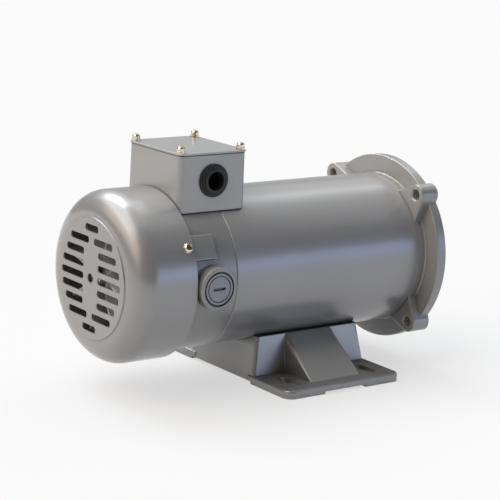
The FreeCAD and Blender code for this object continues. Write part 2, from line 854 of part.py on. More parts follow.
def make_foot():
    # One foot on the low y side, with round outer corners and a soft top edge.
    plate = block(-foot_half_x, foot_half_x, -foot_outer_y, -foot_inner_y, 0, foot_top)
    outer = -foot_outer_y + 1
    corners = [edge for edge in plate.Edges if is_upright(edge) and edge.BoundBox.YMax < outer]
    plate = plate.makeFillet(foot_corner, corners)
    top = [edge for edge in plate.Edges if edge.BoundBox.ZMin > foot_top - 0.01]
    plate = plate.makeFillet(foot_edge, [edge for edge in top if edge.BoundBox.YMin < -foot_inner_y - 1])
    relief_box = block(-relief_half_x, relief_half_x, -foot_outer_y - 1, -foot_inner_y + 1, -1, relief)
    return plate.cut(relief_box)


def make_wedge():
    # The sloping gusset between one foot and the side of the body.
    inner = body_top_y - 2
    outline = [(inner, foot_top - 2), (wedge_foot_y, foot_top - 2), (wedge_foot_y, foot_top)]
    outline += [(body_top_y + 0.4, body_top - 0.4), (inner, body_top - 0.4)]
    points = [vec(-wedge_half_x, -y, z) for y, z in outline]
    wedge = Part.Face(Part.makePolygon(points + points[:1])).extrude(vec(2 * wedge_half_x, 0, 0))
    slopes = [edge for edge in wedge.Edges if min(edge.BoundBox.YLength, edge.BoundBox.ZLength) > 1]
    return wedge.makeFillet(*wedge_edges, slopes)


def base_slot(x, y):
    reach = slot_length / 2 - slot_radius
    slot = block(x - slot_radius, x + slot_radius, y - reach, y + reach, -1, foot_top + 1)
    ends = [upright(-1, foot_top + 1, slot_radius, x, y + side * reach) for side in (-1, 1)]
    return joined([slot] + ends)


def base_form(inset, low, high):
    outline_low = rounded_outline(0, body_low_x - inset, body_low_y - inset, body_corner, low)
    outline_high = rounded_outline(0, body_top_x - inset, body_top_y - inset, body_corner, high)
    return tapered_block(outline_low, outline_high)


def make_base():
    span = (-foot_half_x - 5, foot_half_x + 5)
    roof = disc(*span, tube_radius + base_wall)
    body = base_form(0, relief, body_top)
    side = [make_foot(), make_wedge()]
    solid = joined([body] + side + [mirrored(shape) for shape in side])
    hollow = base_form(base_wall, relief - 4, body_top - 1).cut(roof)
    gap = block(*span, -relief_inner_y, relief_inner_y, -1, relief)
    tools = [hollow, gap, disc(*span, tube_radius + cover_gap)]
    for x in (-slot_half_x, slot_half_x):
        for y in (-slot_y, slot_y):
            tools.append(base_slot(x, y))
    hole_radius = base_bolt_radius + base_bolt_gap
    for angle in base_bolt_angles:
        for x in (-base_bolt_x, base_bolt_x):
            hole = radial_bar(x, tube_radius - 2, tube_radius + base_wall + 2, hole_radius)
            tools.append(spun(hole, angle))
    return without(solid, tools)


def make_base_bolts():
    bolts = []
    seat = tube_radius + base_wall
    for angle in base_bolt_angles:
        for x in (-base_bolt_x, base_bolt_x):
            shank = radial_bar(x, tube_bore + base_bolt_floor + seat_gap, seat + 1, base_bolt_radius)
            start = vec(x, seat + 0.4, shaft_height)
            head = hexagon(start, y_axis, base_bolt_head_across, base_bolt_head_height)
            bolts.append(spun(shank.fuse(head), angle))
    return Part.makeCompound(bolts)


save("motor_tube", make_tube())
save("front_end_bell", make_front_bell())
save("rear_end_bell", make_rear_bell())
save("through_bolts", make_through_bolts())
save("magnet_left", make_magnet())
save("magnet_right", spun(make_magnet(), 180))
save("shaft_seal", make_seal())
save("bearing_washer", make_washer())
for place, start_x in (("front", front_bearing_x), ("rear", rear_bearing_x)):
    save(place + "_bearing_outer_ring", bearing_ring(start_x, bearing_outer, outer_ring_bore))
    save(place + "_bearing_inner_ring", bearing_ring(start_x, inner_ring_radius, bearing_bore + 0.01))
    save(place + "_bearing_balls", make_balls(start_x))
    save(place + "_bearing_cage", make_cage(start_x))
save("shaft", make_shaft())
save("armature_core", make_core())
save("armature_winding", make_winding())
save("commutator_bars", make_commutator_bars())
save("commutator_hub", make_commutator_hub())
save("cooling_fan", make_fan())
save("fan_retaining_ring", make_retaining_ring())
brush_gear = {
    "brush_holder": make_holder(),
    "brush_cap": make_cap(),
    "brush": make_brush(),
    "brush_spring": make_spring(),
}
for node, shape in brush_gear.items():
    save(node + "_left", shape)
    save(node + "_right", mirrored(shape))
save("fan_cover", make_cover())
save("fan_cover_screws", make_cover_screws())
save("terminal_box", make_box())
save("terminal_box_gasket", make_box_gasket())
save("terminal_box_screws", make_box_screws())
save("terminal_box_lid", make_lid())
save("lid_gasket", make_lid_gasket())
save("lid_screws", make_lid_screws())
save("cable_grommet", make_grommet())
save("base", make_base())
save("base_bolts", make_base_bolts())
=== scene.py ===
import json
import math
import bmesh
import bpy
from mathutils import Matrix, Vector


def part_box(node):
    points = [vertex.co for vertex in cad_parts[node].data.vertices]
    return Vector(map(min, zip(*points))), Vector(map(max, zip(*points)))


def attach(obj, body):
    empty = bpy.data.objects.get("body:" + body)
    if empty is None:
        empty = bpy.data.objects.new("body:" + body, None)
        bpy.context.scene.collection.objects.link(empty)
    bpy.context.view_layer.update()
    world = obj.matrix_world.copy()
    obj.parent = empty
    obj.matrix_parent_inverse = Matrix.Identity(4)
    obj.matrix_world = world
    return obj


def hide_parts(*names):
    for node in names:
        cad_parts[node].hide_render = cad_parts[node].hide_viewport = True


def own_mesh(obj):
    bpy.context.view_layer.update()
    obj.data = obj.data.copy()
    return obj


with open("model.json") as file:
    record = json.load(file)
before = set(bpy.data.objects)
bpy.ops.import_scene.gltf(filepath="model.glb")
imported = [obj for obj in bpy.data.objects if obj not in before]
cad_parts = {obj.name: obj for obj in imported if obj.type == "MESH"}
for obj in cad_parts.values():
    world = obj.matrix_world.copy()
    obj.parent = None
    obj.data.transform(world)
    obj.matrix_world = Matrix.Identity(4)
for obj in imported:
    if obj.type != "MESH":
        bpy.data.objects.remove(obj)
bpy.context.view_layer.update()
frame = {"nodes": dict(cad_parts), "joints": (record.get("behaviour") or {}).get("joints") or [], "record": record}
nodes = frame["nodes"]
joints = {joint["name"]: joint for joint in frame["joints"]}
mm = 0.001
shaftZ = joints["rotor_spin"]["pos_m"][2]  # height of the shaft line


# node trees

def startMaterial(name):
    material = bpy.data.materials.new(name)
    material.use_nodes = True
    tree = material.node_tree
    return material, tree, tree.nodes["Principled BSDF"]


def addNode(tree, kind, sockets=None, **settings):
    node = tree.nodes.new(kind)
    for key, value in settings.items():
        setattr(node, key, value)
    for key, value in (sockets or {}).items():
        if isinstance(value, bpy.types.NodeSocket):
            tree.links.new(value, node.inputs[key])
        else:
            node.inputs[key].default_value = value
    return node


def noise(tree, place, scale, detail=3.0, rough=0.5):
    sockets = {"Vector": place, "Scale": scale, "Detail": detail, "Roughness": rough}
    return addNode(tree, "ShaderNodeTexNoise", sockets).outputs["Fac"]


def remap(tree, value, low, high, fromLow=0.3, fromHigh=0.7):
    sockets = {"Value": value, "From Min": fromLow, "From Max": fromHigh, "To Min": low, "To Max": high}
    return addNode(tree, "ShaderNodeMapRange", sockets).outputs["Result"]


def blendColors(tree, share, first, second):
    # the mix node has sockets of one name for each kind of value, so they go by number
    sockets = {0: share, 6: first, 7: second}
    return addNode(tree, "ShaderNodeMix", sockets, data_type="RGBA").outputs[2]


def combine(tree, operation, *values):
    return addNode(tree, "ShaderNodeMath", dict(enumerate(values)), operation=operation).outputs[0]


def combineVectors(tree, operation, first, second):
    return addNode(tree, "ShaderNodeVectorMath", {0: first, 1: second}, operation=operation).outputs


def addBump(tree, height, depth, under=None):
    sockets = {"Height": height, "Distance": depth, "Strength": 1.0}
    if under is not None:
        sockets["Normal"] = under
    return addNode(tree, "ShaderNodeBump", sockets).outputs["Normal"]


def roundedNormal(tree, radius, samples):
    return addNode(tree, "ShaderNodeBevel", {"Radius": radius}, samples=samples).outputs["Normal"]


def shade(color, factor=1.0):
    return tuple(min(1.0, c * factor) for c in color) + (1.0,)


edgeTurn = (0.80, 0.985)  # how far the rounded and the plain normal agree, on an edge and beside it
paintedShadeOpenness = (0.15, 0.75)  # open share of the sky in a groove and beside it


def edgeWearAndHighlightMask(tree, radius):
    # 1 where the surface turns within this radius; it places the edge wear and the painted edge highlight
    plain = addNode(tree, "ShaderNodeNewGeometry").outputs["Normal"]
    agreement = combineVectors(tree, "DOT_PRODUCT", roundedNormal(tree, radius, samples=6), plain)["Value"]
    return remap(tree, agreement, 1.0, 0.0, *edgeTurn)


def paintedShadeMask(tree, reach):
    # painted shade: 1 in narrow gaps and grooves, where little of the sky is open, 0 in the open
    openness = addNode(tree, "ShaderNodeAmbientOcclusion", {"Distance": reach}, samples=6).outputs["AO"]
    return remap(tree, openness, 1.0, 0.0, *paintedShadeOpenness)


# painted finishes

# colour factors for the marks: darker random clouds, a lighter colour for edge wear with painted edge highlight,
# and a dark colour for painted shade in grooves
paintWearAndPaintedLight = {
    "cloudShade": 0.6, "edgeWearAndHighlightLift": 1.5, "paintedShadeFactor": 0.12,
    "patchScale": 160.0, "edgePatchRange": (0.2, 1.0),
}
# besides the paint itself, each look sets how much painted highlight with edge wear lies on its edges and how much
# painted shade lies in its grooves
paintLooks = {
    "tube_paint": {
        "color": (0.40, 0.40, 0.40), "metallic": 0.3, "roughness": (0.29, 0.35),
        "coat": 0.4, "coatRoughness": 0.14,
        "flakeScale": 2600.0, "flakeTone": 0.08, "cloudScale": 22.0, "cloudTone": 0.10,
        "peelScale": 420.0, "peelDepth": 0.00001, "grainScale": 1900.0, "grainDepth": 0.000006,
        "edgeRadius": 0.0007, "edgeWearAndHighlightTone": 0.35, "paintedShadeReach": 0.003, "paintedShadeTone": 0.5,
    },
    "sheet_paint": {
        "color": (0.40, 0.398, 0.394), "metallic": 0.3, "roughness": (0.29, 0.34),
        "coat": 0.5, "coatRoughness": 0.12,
        "flakeScale": 2600.0, "flakeTone": 0.08, "cloudScale": 26.0, "cloudTone": 0.08,
        "peelScale": 420.0, "peelDepth": 0.00001, "grainScale": 1900.0, "grainDepth": 0.000005,
        "edgeRadius": 0.0006, "edgeWearAndHighlightTone": 0.4, "paintedShadeReach": 0.003, "paintedShadeTone": 0.5,
    },
    "cast_paint": {
        "color": (0.39, 0.388, 0.382), "metallic": 0.3, "roughness": (0.32, 0.38),
        "coat": 0.3, "coatRoughness": 0.2,
        "flakeScale": 2400.0, "flakeTone": 0.10, "cloudScale": 30.0, "cloudTone": 0.12,
        "peelScale": 300.0, "peelDepth": 0.00003, "grainScale": 1300.0, "grainDepth": 0.00002,
        "edgeRadius": 0.0010, "edgeWearAndHighlightTone": 0.5, "paintedShadeReach": 0.006, "paintedShadeTone": 0.7,
    },
}
nodeCoatsAndPaintedLight = {  # lighter, darker or glossier copies of the same paint for single parts; the lighter box and lid are painted light, the darker rear bell is painted shade
    "terminal_box": {"tone": 1.15},
    "terminal_box_lid": {"tone": 1.18},
    # wide painted highlight on the boss ring and pad edges, and painted shade reaching far into the recesses by
    # the pads, boss and cover rim
    "rear_end_bell": {
        "tone": 0.92, "coat": 0.15,
        "edgeRadius": 0.0018, "edgeWearAndHighlightTone": 0.9, "paintedShadeReach": 0.018, "paintedShadeTone": 0.75,
    },
    # painted shade reaching far, darkening the base's walls, gussets and feet under the tube and cover
    "base": {
        "tone": 1.0, "metallic": 0.6, "roughness": (0.33, 0.39), "coat": 0.2,
        "paintedShadeReach": 0.03, "paintedShadeTone": 0.75,
    },
}


def makePaint(name, look):
    material, tree, shader = startMaterial(name)
    color, wearAndPaintedLight = look["color"], paintWearAndPaintedLight
    place = addNode(tree, "ShaderNodeTexCoord").outputs["Object"]
    flakes = noise(tree, place, look["flakeScale"], detail=1.0)
    clouds = noise(tree, place, look["cloudScale"])
    patches = remap(tree, noise(tree, place, wearAndPaintedLight["patchScale"]), *wearAndPaintedLight["edgePatchRange"])

    # flakes, then clouds, edge wear with painted highlight, and painted shade in the grooves over them
    cloudy = remap(tree, clouds, 0.0, look["cloudTone"])
    wearAndHighlight = combine(tree, "MULTIPLY", edgeWearAndHighlightMask(tree, look["edgeRadius"]), patches)
    wearAndHighlight = combine(tree, "MULTIPLY", wearAndHighlight, look["edgeWearAndHighlightTone"])
    paintedShadeShare = combine(tree, "MULTIPLY", paintedShadeMask(tree, look["paintedShadeReach"]), look["paintedShadeTone"])
    tone = blendColors(tree, flakes, shade(color, 1 - look["flakeTone"]), shade(color, 1 + look["flakeTone"]))
    tone = blendColors(tree, cloudy, tone, shade(color, wearAndPaintedLight["cloudShade"]))
    tone = blendColors(tree, wearAndHighlight, tone, shade(color, wearAndPaintedLight["edgeWearAndHighlightLift"]))
    tone = blendColors(tree, paintedShadeShare, tone, shade(color, wearAndPaintedLight["paintedShadeFactor"]))
    tree.links.new(tone, shader.inputs["Base Color"])

    shader.inputs["Metallic"].default_value = look["metallic"]
    shader.inputs["Coat Weight"].default_value = look["coat"]
    shader.inputs["Coat Roughness"].default_value = look["coatRoughness"]
    tree.links.new(remap(tree, clouds, *look["roughness"]), shader.inputs["Roughness"])
    rounded = roundedNormal(tree, look["edgeRadius"], samples=8)
    peel = addBump(tree, noise(tree, place, look["peelScale"], detail=2.0), look["peelDepth"], rounded)
    grain = addBump(tree, noise(tree, place, look["grainScale"], rough=0.6), look["grainDepth"], peel)
    tree.links.new(grain, shader.inputs["Normal"])
    return material


# bare metals

streakShade = 0.5
metalLooks = {
    "zinc_steel": {
        "color": (0.58, 0.59, 0.61), "otherColor": (0.66, 0.66, 0.64), "cloudScale": 160.0,
        "metallic": 1.0, "roughness": (0.28, 0.40),
        "stretch": (1, 1, 1), "streakScale": 900.0, "streakTone": 0.3, "streakDepth": 0.000008,
    },
    "yellow_zinc": {
        "color": (0.74, 0.66, 0.46), "otherColor": (0.78, 0.74, 0.64), "cloudScale": 420.0,
        "metallic": 1.0, "roughness": (0.18, 0.30),
        "stretch": (1, 1, 1), "streakScale": 1100.0, "streakTone": 0.25, "streakDepth": 0.000006,
    },
    "bearing_steel": {
        "color": (0.64, 0.64, 0.65), "otherColor": (0.70, 0.70, 0.70), "cloudScale": 120.0,
        "metallic": 1.0, "roughness": (0.12, 0.20),
        "stretch": (1, 1, 1), "streakScale": 1500.0, "streakTone": 0.1, "streakDepth": 0.000002,
    },
    "spring_steel": {
        "color": (0.40, 0.40, 0.42), "otherColor": (0.50, 0.49, 0.47), "cloudScale": 300.0,
        "metallic": 1.0, "roughness": (0.25, 0.38),
        "stretch": (1, 1, 1), "streakScale": 1400.0, "streakTone": 0.3, "streakDepth": 0.000004,
    },
    "ground_steel": {
        "color": (0.62, 0.62, 0.63), "otherColor": (0.68, 0.67, 0.65), "cloudScale": 60.0,
        "metallic": 1.0, "roughness": (0.16, 0.30),
        "stretch": (14, 0.6, 0.6), "streakScale": 260.0, "streakTone": 0.25, "streakDepth": 0.000006,
    },
    "lamination_steel": {
        "color": (0.26, 0.26, 0.28), "otherColor": (0.36, 0.35, 0.34), "cloudScale": 50.0,
        "metallic": 1.0, "roughness": (0.30, 0.45),
        "stretch": (30, 0.3, 0.3), "streakScale": 130.0, "streakTone": 0.7, "streakDepth": 0.00003,
    },
    "copper_wire": {
        "color": (0.58, 0.24, 0.10), "otherColor": (0.70, 0.34, 0.15), "cloudScale": 90.0,
        "metallic": 0.9, "roughness": (0.22, 0.36),
        "stretch": (0.2, 3, 3), "streakScale": 500.0, "streakTone": 0.6, "streakDepth": 0.0001,
    },
    "commutator_copper": {
        "color": (0.72, 0.40, 0.24), "otherColor": (0.55, 0.28, 0.17), "cloudScale": 90.0,
        "metallic": 1.0, "roughness": (0.20, 0.34),
        "stretch": (16, 0.5, 0.5), "streakScale": 300.0, "streakTone": 0.4, "streakDepth": 0.000008,
    },
}


def makeMetal(name, look):
    material, tree, shader = startMaterial(name)
    place = addNode(tree, "ShaderNodeTexCoord").outputs["Object"]
    drawn = addNode(tree, "ShaderNodeMapping", {"Vector": place, "Scale": look["stretch"]}).outputs["Vector"]
    streaks = noise(tree, drawn, look["streakScale"], detail=4.0, rough=0.6)
    clouds = remap(tree, noise(tree, place, look["cloudScale"]), 0.0, 1.0)
    tone = blendColors(tree, clouds, shade(look["color"]), shade(look["otherColor"]))
    streaky = remap(tree, streaks, 0.0, look["streakTone"])
    tone = blendColors(tree, streaky, tone, shade(look["color"], streakShade))
    tree.links.new(tone, shader.inputs["Base Color"])
    shader.inputs["Metallic"].default_value = look["metallic"]
    tree.links.new(remap(tree, streaks, *look["roughness"]), shader.inputs["Roughness"])
    tree.links.new(addBump(tree, streaks, look["streakDepth"]), shader.inputs["Normal"])
    return material


# rubber, plastic, carbon and ferrite

# painted shade in slots and narrow grooves of the dull finishes
dullPaintedShade = {"reach": 0.003, "shade": 0.1}
dullLooks = {
    # the cap's slot and rings go dark by painted shade
    "cap_plastic": {
        "color": (0.45, 0.475, 0.525), "otherColor": (0.49, 0.51, 0.555), "cloudScale": 90.0,
        "specular": 0.5, "roughness": (0.34, 0.46),
        "grainScale": 2200.0, "grainDepth": 0.00001, "paintedShadeTone": 0.95,
    },
    "black_plastic": {
        "color": (0.012, 0.012, 0.013), "otherColor": (0.022, 0.022, 0.024), "cloudScale": 120.0,
        "specular": 0.5, "roughness": (0.35, 0.5),
        "grainScale": 2200.0, "grainDepth": 0.00001, "paintedShadeTone": 0.6,
    },
    "black_rubber": {
        "color": (0.016, 0.017, 0.019), "otherColor": (0.032, 0.033, 0.036), "cloudScale": 150.0,
        "specular": 0.4, "roughness": (0.42, 0.6),
        "grainScale": 1800.0, "grainDepth": 0.00003, "paintedShadeTone": 0.6,
    },
    "ferrite": {
        "color": (0.05, 0.05, 0.055), "otherColor": (0.09, 0.09, 0.09), "cloudScale": 60.0,
        "specular": 0.5, "roughness": (0.5, 0.7),
        "grainScale": 1500.0, "grainDepth": 0.00004, "paintedShadeTone": 0.5,
    },
    "fan_plastic": {
        "color": (0.86, 0.91, 0.93), "otherColor": (0.90, 0.94, 0.95), "cloudScale": 40.0,
        "specular": 0.5, "roughness": (0.30, 0.42),
        "grainScale": 1600.0, "grainDepth": 0.00001,  # a clean fan, with no painted shade in its grooves
    },
    "carbon": {
        "color": (0.02, 0.02, 0.021), "otherColor": (0.05, 0.05, 0.05), "cloudScale": 200.0,
        "specular": 0.5, "roughness": (0.35, 0.6),
        "grainScale": 2500.0, "grainDepth": 0.00003, "paintedShadeTone": 0.5,
    },
}


def makeDull(name, look):
    material, tree, shader = startMaterial(name)
    place = addNode(tree, "ShaderNodeTexCoord").outputs["Object"]
    grain = noise(tree, place, look["grainScale"], detail=4.0, rough=0.6)
    clouds = remap(tree, noise(tree, place, look["cloudScale"]), 0.0, 1.0)
    tone = blendColors(tree, clouds, shade(look["color"]), shade(look["otherColor"]))
    # painted shade: darker in slots and narrow grooves
    if "paintedShadeTone" in look:
        paintedShadeShare = combine(tree, "MULTIPLY", paintedShadeMask(tree, dullPaintedShade["reach"]), look["paintedShadeTone"])
        tone = blendColors(tree, paintedShadeShare, tone, shade(look["color"], dullPaintedShade["shade"]))
    tree.links.new(tone, shader.inputs["Base Color"])
    shader.inputs["Specular IOR Level"].default_value = look["specular"]
    tree.links.new(remap(tree, grain, *look["roughness"]), shader.inputs["Roughness"])
    tree.links.new(addBump(tree, grain, look["grainDepth"]), shader.inputs["Normal"])
    return material


finishes = {}
for makeFinish, looks in ((makePaint, paintLooks), (makeMetal, metalLooks), (makeDull, dullLooks)):
    for slotName, look in looks.items():
        finishes[slotName] = makeFinish(slotName + "_finish", look)
for part in frame["record"]["subparts"]:
    if part["node"] in nodeCoatsAndPaintedLight:
        coat = paintLooks[part["material_slot"]] | nodeCoatsAndPaintedLight[part["node"]]
        # the tone paints the part lighter or darker than its paint: painted light and shade
        coat["color"] = tuple(c * coat["tone"] for c in coat["color"])
        finishes[part["node"]] = makePaint(part["node"] + "_finish", coat)
print("finishes made:", len(finishes))


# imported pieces: softened edges and finishes

edgeWidths = {
    "fan_cover": 0.25, "terminal_box_lid": 0.2, "shaft": 0.2, "brush_cap_left": 0.2, "brush_cap_right": 0.2,
    "cooling_fan": 0.4, "through_bolts": 0.3, "base_bolts": 0.4,
}
edgeLook = {"weld": 0.002, "flatAngle": 0.3, "segments": 3, "angle": 32, "normalWeight": 80}


def softenEdges(node, width, look):
    for polygon in node.data.polygons:
        polygon.use_smooth = True
    weld = node.modifiers.new("weld", "WELD")
    weld.merge_threshold = look["weld"] * mm
    flat = node.modifiers.new("flat", "DECIMATE")
    flat.decimate_type = "DISSOLVE"
    flat.angle_limit = math.radians(look["flatAngle"])
    bevel = node.modifiers.new("edges", "BEVEL")
    bevel.width = width * mm
    bevel.segments = look["segments"]
    bevel.limit_method = "ANGLE"
    bevel.angle_limit = math.radians(look["angle"])
    bevel.use_clamp_overlap = False
    bevel.miter_outer = "MITER_ARC"
    normals = node.modifiers.new("normals", "WEIGHTED_NORMAL")
    normals.weight = look["normalWeight"]
    normals.keep_sharp = True


for part in frame["record"]["subparts"]:
    node = nodes[part["node"]]
    node.data.materials.clear()
    node.data.materials.append(finishes.get(part["node"], finishes[part["material_slot"]]))
    if part["node"] in edgeWidths:
        softenEdges(node, edgeWidths[part["node"]], edgeLook)
print("packed pieces finished")


# shaped pieces

sharpAngle = 38  # shaped pieces are smooth below this turn


def meshFrom(shape, name):
    mesh = bpy.data.meshes.new(name)
    bmesh.ops.recalc_face_normals(shape, faces=shape.faces)
    shape.to_mesh(mesh)
    shape.free()
    return mesh


def addPiece(name, mesh, body, slotName):
    mesh.shade_smooth()
    mesh.set_sharp_from_angle(angle=math.radians(sharpAngle))
    mesh.materials.clear()
    mesh.materials.append(finishes[slotName])
    piece = bpy.data.objects.new(name, mesh)
    bpy.context.scene.collection.objects.link(piece)
    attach(piece, body)
    return piece


def evenTurns(count):
    return [2 * math.pi * k / count for k in range(count)]


def skinRings(shape, rings):
    # sides between rings of one length, and a cap at each end
    for a, b in zip(rings, rings[1:]):
        for n in range(len(a)):
            shape.faces.new([a[n - 1], a[n], b[n], b[n - 1]])
    shape.faces.new(rings[0])
    shape.faces.new(rings[-1])


def softProfile(points, steps=4):
    # rounds each (radius, height, rounding) corner of a turned profile
    out = []
    for k, (r, z, rounding) in enumerate(points):
        here = Vector((r, z))
        if rounding == 0:
            out.append((r, z))
            continue
        before = (Vector(points[k - 1][:2]) - here).normalized()
        after = (Vector(points[k + 1][:2]) - here).normalized()
        half = before.angle(after) / 2
        centre = here + (before + after).normalized() * (rounding / math.sin(half))
        start = here + before * (rounding / math.tan(half)) - centre
        end = here + after * (rounding / math.tan(half)) - centre
        for n in range(steps + 1):
            out.append(tuple(centre + start.lerp(end, n / steps).normalized() * rounding))
    return out


def lathe(profile, sides):
    shape = bmesh.new()
    rings = []
    for r, z in profile:
        turns = evenTurns(1 if r == 0 else sides)  # one point on the axis
        rings.append([shape.verts.new((r * mm * math.cos(t), r * mm * math.sin(t), z * mm)) for t in turns])
    for a, b in zip(rings, rings[1:]):
        for k in range(sides):
            m = (k + 1) % sides
            corners = dict.fromkeys((a[k % len(a)], a[m % len(a)], b[m % len(b)], b[k % len(b)]))
            if len(corners) > 2:
                shape.faces.new(list(corners))
    return shape


def carved(mesh, tool):
    body = bpy.data.objects.new("carvedBody", mesh)
    cutter = bpy.data.objects.new("carvedTool", tool)
    for item in (body, cutter):
        bpy.context.scene.collection.objects.link(item)
    cut = body.modifiers.new("cut", "BOOLEAN")
    cut.object = cutter
    cut.operation = "DIFFERENCE"
    cut.solver = "EXACT"
    result = bpy.data.meshes.new_from_object(body.evaluated_get(bpy.context.evaluated_depsgraph_get()))
    for item in (body, cutter):
        bpy.data.objects.remove(item)
    return result


def copies(mesh, places, name):
    shape = bmesh.new()
    for place in places:
        one = mesh.copy()
        one.transform(place)
        shape.from_mesh(one)
        bpy.data.meshes.remove(one)
    return meshFrom(shape, name)


def standing(x, y, z, spin=0.0):
    return Matrix.Translation((x, y, z)) @ Matrix.Rotation(math.radians(spin), 4, "Z")


# screws, in millimetres from the seat of the head

screwShape = {
    "tipRound": 0.3, "skirtRound": 0.2, "headRound": 0.3, "sides": 36,
    "crownRound": 0.8, "crownShare": 0.72, "crownDrop": 0.15, "recessClear": 0.4, "recessTaper": 0.45,
}
lidScrew = {
    "rise": 5.2, "skirt": 1.5, "skirtRadius": 3.5, "headRadius": 3.1, "dome": 1.5,
    "shank": 9.0, "shankRadius": 1.9, "recessSpan": 4.0, "recessWidth": 0.9, "recessDepth": 1.9,
    "spins": (20, 65, 38, 80),
}
coverScrew = {
    "rise": 2.8, "skirt": 0.5, "skirtRadius": 3.9, "headRadius": 3.6, "dome": 1.3,
    "shank": 8.0, "shankRadius": 1.9, "recessSpan": 4.2, "recessWidth": 1.0, "recessDepth": 1.7,
    "angles": (32, 152, 272), "spin": 30,
}


def crossTool(look, form):
    # a tapered plus, for the driver recess
    shape = bmesh.new()
    rings = []
    top, bottom = look["rise"] + form["recessClear"], look["rise"] - look["recessDepth"]
    for z, share in ((top, 1.0), (bottom, form["recessTaper"])):
        s = look["recessSpan"] * share / 2
        w = look["recessWidth"] * (1 + share) / 4  # the width tapers half as fast
        plus = [(s, -w), (s, w), (w, w), (w, s), (-w, s), (-w, w)]
        plus += [(-x, -y) for x, y in plus]
        rings.append([shape.verts.new((x * mm, y * mm, z * mm)) for x, y in plus])
    skinRings(shape, rings)
    return shape


def crossScrew(look, form):
    # pan head on a washer skirt, with a short shank below the seat
    head, top = look["headRadius"], look["rise"]
    profile = softProfile([
        (0, -look["shank"], 0),
        (look["shankRadius"], -look["shank"], form["tipRound"]),
        (look["shankRadius"], 0, 0),
        (look["skirtRadius"], 0, 0),
        (look["skirtRadius"], look["skirt"], form["skirtRound"]),
        (head, look["skirt"], 0),
        (head, top - look["dome"], form["headRound"]),
        (head * form["crownShare"], top - form["crownDrop"], form["crownRound"]),
        (0, top, 0),
    ])
    screw = meshFrom(lathe(profile, form["sides"]), "screwBody")
    return carved(screw, meshFrom(crossTool(look, form), "screwTool"))


def makeLidScrews(look):
    low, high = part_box("lid_screws")
    inset = look["skirtRadius"] * mm
    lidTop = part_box("terminal_box_lid")[1].z
    corners = [(x, y) for x in (low.x + inset, high.x - inset) for y in (low.y + inset, high.y - inset)]
    places = [standing(x, y, lidTop, spin) for (x, y), spin in zip(corners, look["spins"])]
    screws = copies(crossScrew(look, screwShape), places, "lidScrews")
    piece = addPiece("lidScrews", screws, "stator", "yellow_zinc")
    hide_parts("lid_screws")


def makeCoverScrews(look):
    low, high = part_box("fan_cover_screws")
    coverLow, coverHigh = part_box("fan_cover")
    radius = (coverHigh.y - coverLow.y) / 2
    along = Matrix.Translation(((low.x + high.x) / 2, 0, shaftZ))
    places = []
    for angle in look["angles"]:
        turn = Matrix.Rotation(math.radians(angle - 90), 4, "X")  # 90 is the top of the cover
        places.append(along @ turn @ standing(0, 0, radius, look["spin"]))
    screws = copies(crossScrew(look, screwShape), places, "fanCoverScrews")
    piece = addPiece("fanCoverScrews", screws, "stator", "yellow_zinc")
    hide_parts("fan_cover_screws")


# brush springs

brushSpring = {"turns": 6.5, "closedTurns": 1.0, "wireRadius": 0.5, "radius": 3.0, "steps": 150}


def wireTube(points, radius, sides=10):
    # a round wire along a line of points
    shape = bmesh.new()
    rings = []
    for k, point in enumerate(points):
        ahead = (points[min(k + 1, len(points) - 1)] - points[max(k - 1, 0)]).normalized()
        side = ahead.orthogonal().normalized() if k == 0 else (side - ahead * side.dot(ahead)).normalized()
        other = ahead.cross(side)
        ring = [side * math.cos(t) + other * math.sin(t) for t in evenTurns(sides)]
        rings.append([shape.verts.new(point + way * radius) for way in ring])
    skinRings(shape, rings)
    return shape


def springLine(look, length):
    # (turn, distance along) of a coil with closed end turns
    wire, ends = look["wireRadius"] * mm, look["closedTurns"]
    free = look["turns"] - 2 * ends
    for k in range(look["steps"] + 1):
        turn = look["turns"] * k / look["steps"]
        share = min(max((turn - ends) / free, 0), 1)
        closed = min(turn, ends) + max(turn - look["turns"] + ends, 0)
        yield turn, 2 * wire * closed + share * (length - 4 * wire * ends)


def makeSpring(side, look):
    node, slide = "brush_spring_" + side, side + "_brush_slide"
    low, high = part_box(node)
    sign = 1 if side == "left" else -1
    inner, outer = (low.y, high.y) if sign > 0 else (high.y, low.y)
    span = abs(outer - inner)
    centre = Vector(((low.x + high.x) / 2, 0, (low.z + high.z) / 2))
    wire, radius = look["wireRadius"] * mm, look["radius"] * mm
    points = []
    for turn, along in springLine(look, span - 2 * wire):
        spin = 2 * math.pi * turn
        y = inner + sign * (wire + along)
        points.append(centre + Vector((math.cos(spin) * radius, y, math.sin(spin) * radius)))
    coil = meshFrom(wireTube(points, wire), "spring")
    piece = addPiece("brushSpring" + side.capitalize(), coil, "stator", "spring_steel")
    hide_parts(node)
    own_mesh(piece)


# threads of the ear holes

earThread = {
    "pitch": 1.5875, "depth": 0.22, "radius": 3.94, "flank": 0.42, "from": 93.2, "to": 107.0,
    "circle": 74.6125, "angles": (45, 135, 225, 315), "steps": 28,
}


def makeEarThreads(look):
    shape = bmesh.new()
    turns = (look["to"] - look["from"]) / look["pitch"]
    half = look["pitch"] * look["flank"] * mm
    outer, inner = look["radius"] * mm, (look["radius"] - look["depth"]) * mm
    for angle in look["angles"]:
        a = math.radians(angle)
        middle = Vector((0, look["circle"] * mm * math.cos(a), shaftZ + look["circle"] * mm * math.sin(a)))
        rings = []
        for k in range(int(turns * look["steps"]) + 1):
            t = 2 * math.pi * k / look["steps"]
            x = (look["from"] + look["pitch"] * k / look["steps"]) * mm
            way = Vector((0, math.cos(t), math.sin(t)))
            ridge = [(x - half, outer), (x, inner), (x + half, outer)]
            rings.append([shape.verts.new(middle + Vector((px, 0, 0)) + way * pr) for px, pr in ridge])
        skinRings(shape, rings)
    # the cast paint's painted shade darkens the narrow bores
    addPiece("earThreads", meshFrom(shape, "earThreads"), "stator", "cast_paint")


